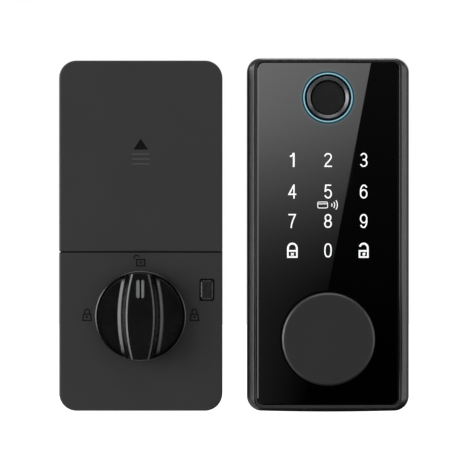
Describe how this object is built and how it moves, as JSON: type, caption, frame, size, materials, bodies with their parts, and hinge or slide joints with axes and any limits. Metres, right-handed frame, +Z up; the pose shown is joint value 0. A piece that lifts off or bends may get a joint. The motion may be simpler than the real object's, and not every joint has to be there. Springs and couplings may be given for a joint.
{
  "type": "keypad smart lock",
  "caption": "Door-mounted keypad smart lock: glass keypad unit with fingerprint reader and turning knob, beside its battery-powered interior unit with thumbturn.",
  "frame": {"origin": "on the door-face plane that both units' backs lie in, midway between the two units, level with the exterior unit's bottom edge", "axes": "+X to the viewer's right across the fronts, +Y from the fronts into the door, +Z up along both units"},
  "size_m": [0.1569, 0.102, 0.159],
  "materials": {
    "painted_zinc": "dark grey satin paint on a die casting",
    "dark_plastic": "fine matt moulded texture, dark grey",
    "knob_gloss": "black, half gloss",
    "satin_grey": "dark grey satin coat",
    "black_glass": "black-backed polished touch glass",
    "sensor_black": "smooth black",
    "bright_steel": "bright turned steel",
    "zinc_plate": "zinc-plated steel",
    "brass": "turned brass",
    "rubber": "matt black rubber",
    "circuit": "green solder mask",
    "milky": "milky diffuser",
    "cyan_light": "translucent ring, lit cyan",
    "cell_wrap": "printed battery wrap",
    "nylon": "natural nylon",
    "mark_grey": "grey inlay"
  },
  "bodies": {
    "root": {"exterior_housing": "painted_zinc", "glass_panel": "black_glass", "touch_circuit_board": "circuit", "keypad_light_guide": "milky", "fingerprint_light_ring": "cyan_light", "fingerprint_bezel": "bright_steel", "fingerprint_sensor": "sensor_black", "control_circuit_board": "circuit", "buzzer": "sensor_black", "exterior_cable_socket": "nylon", "emergency_usb_port": "bright_steel", "knob_bushing": "brass", "clutch_motor": "zinc_plate", "exterior_back_plate": "zinc_plate", "back_plate_screw_lower": "zinc_plate", "back_plate_screw_upper": "zinc_plate", "cable_grommet": "rubber", "exterior_gasket": "rubber", "bolt_post_left": "zinc_plate", "bolt_post_right": "zinc_plate", "interior_housing": "dark_plastic", "battery_1": "cell_wrap", "battery_2": "cell_wrap", "battery_3": "cell_wrap", "battery_4": "cell_wrap", "battery_spring_1": "bright_steel", "battery_spring_2": "bright_steel", "battery_spring_3": "bright_steel", "battery_spring_4": "bright_steel", "battery_contact_top_left": "bright_steel", "battery_contact_top_middle": "bright_steel", "battery_contact_top_right": "bright_steel", "battery_contact_bottom_left": "bright_steel", "battery_contact_bottom_right": "bright_steel", "thumbturn_bushing": "brass", "position_switch": "sensor_black", "set_switch": "circuit", "main_circuit_board": "circuit", "interior_mounting_plate": "zinc_plate", "through_bolt_left": "zinc_plate", "through_bolt_right": "zinc_plate", "housing_screw_left": "zinc_plate", "housing_screw_right": "zinc_plate"},
    "battery_cover": {"battery_cover": "dark_plastic"},
    "thumbturn": {"thumbturn": "knob_gloss", "pointer_inlay": "mark_grey", "thumbturn_spindle": "zinc_plate", "thumbturn_retaining_clip": "bright_steel", "position_cam": "nylon"},
    "set_button": {"set_button": "dark_plastic"},
    "exterior_knob": {"exterior_knob": "satin_grey", "knob_shaft": "bright_steel", "knob_grub_screw": "bright_steel", "knob_retaining_clip": "bright_steel"},
    "tailpiece": {"tailpiece_hub": "zinc_plate", "tailpiece": "zinc_plate"},
    "clutch_screw": {"clutch_screw": "brass"},
    "clutch_slider": {"clutch_slider": "nylon"},
    "clutch_pin": {"clutch_pin": "bright_steel"}
  },
  "joints": [
    {"name": "battery_cover_slide", "type": "slide", "parent": "root", "child": "battery_cover", "axis": [0, 0, 1], "range_m": [0, 0.085]},
    {"name": "thumbturn_turn", "type": "hinge", "parent": "root", "child": "thumbturn", "pos_m": [-0.04195, 0, 0.0433], "axis": [0, 1, 0], "range_deg": [-90, 90]},
    {"name": "set_button_press", "type": "slide", "parent": "root", "child": "set_button", "axis": [0, 1, 0], "range_m": [0, 0.0012], "stiffness_N_per_m": 600, "springref_m": -0.001},
    {"name": "exterior_knob_turn", "type": "hinge", "parent": "root", "child": "exterior_knob", "pos_m": [0.04195, 0, 0.033], "axis": [0, 1, 0], "continuous": true},
    {"name": "tailpiece_turn", "type": "hinge", "parent": "root", "child": "tailpiece", "pos_m": [0.04195, 0, 0.033], "axis": [0, 1, 0], "range_deg": [-90, 90]},
    {"name": "clutch_screw_turn", "type": "hinge", "parent": "root", "child": "clutch_screw", "pos_m": [0.04195, -0.0074, 0.05], "axis": [0, 0, 1], "range_deg": [0, 720]},
    {"name": "clutch_slider_move", "type": "slide", "parent": "root", "child": "clutch_slider", "axis": [0, 0, -1], "range_m": [0, 0.0016]},
    {"name": "clutch_pin_move", "type": "slide", "parent": "tailpiece", "child": "clutch_pin", "axis": [0, 0, -1], "range_m": [0, 0.0016]}
  ],
  "couplings": [
    {"joint": "tailpiece_turn", "follows": "thumbturn_turn", "ratio": -1},
    {"joint": "clutch_screw_turn", "follows": "clutch_slider_move", "rad_per_m": 7853.9},
    {"joint": "clutch_pin_move", "follows": "clutch_slider_move", "ratio": 1}
  ]
}
